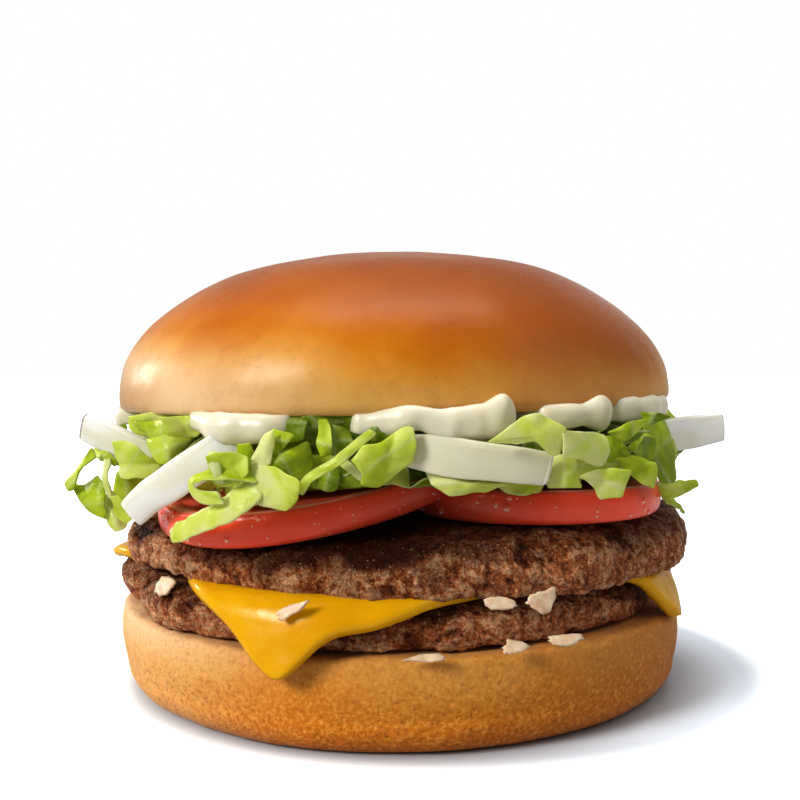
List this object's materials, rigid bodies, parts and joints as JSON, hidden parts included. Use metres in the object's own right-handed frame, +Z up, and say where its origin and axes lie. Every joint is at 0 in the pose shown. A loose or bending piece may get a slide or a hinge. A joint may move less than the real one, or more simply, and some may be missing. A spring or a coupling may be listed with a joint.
{
  "type": "double cheeseburger",
  "caption": "Double cheeseburger in a glossy round bun, with beef patties, a melted cheese slice, tomato slices, shredded lettuce, onion strips and mayonnaise.",
  "frame": {"origin": "centre of the heel's flat base, where the burger rests", "axes": "+Z up, the side seen in the picture faces -Y, +X to its right"},
  "size_m": [0.1158, 0.1074, 0.0775],
  "materials": {
    "crust": "glossy golden brown baked crust, paler at the rim",
    "crumb": "matte pale tan bun with fine pores, golden at the base",
    "beef": "rough seared minced beef with moist specks",
    "cheese": "satin melted processed cheese",
    "tomato": "wet glossy skin and moist cut flesh",
    "lettuce": "crisp translucent leaf, yellow green with whitish ribs",
    "onion": "moist translucent off-white",
    "mayonnaise": "glossy cream"
  },
  "bodies": {
    "root": {"bun_heel": "crumb", "patty_lower": "beef", "cheese_slice": "cheese", "patty_upper": "beef", "tomato_left": "tomato", "tomato_right": "tomato", "tomato_back": "tomato", "lettuce": "lettuce", "onion_strip_1": "onion", "onion_strip_2": "onion", "onion_strip_3": "onion", "onion_strip_4": "onion", "onion_strip_5": "onion", "onion_strip_6": "onion", "onion_strip_7": "onion", "onion_strip_8": "onion", "mayonnaise": "mayonnaise", "bun_crown": "crust"}
  },
  "joints": []
}
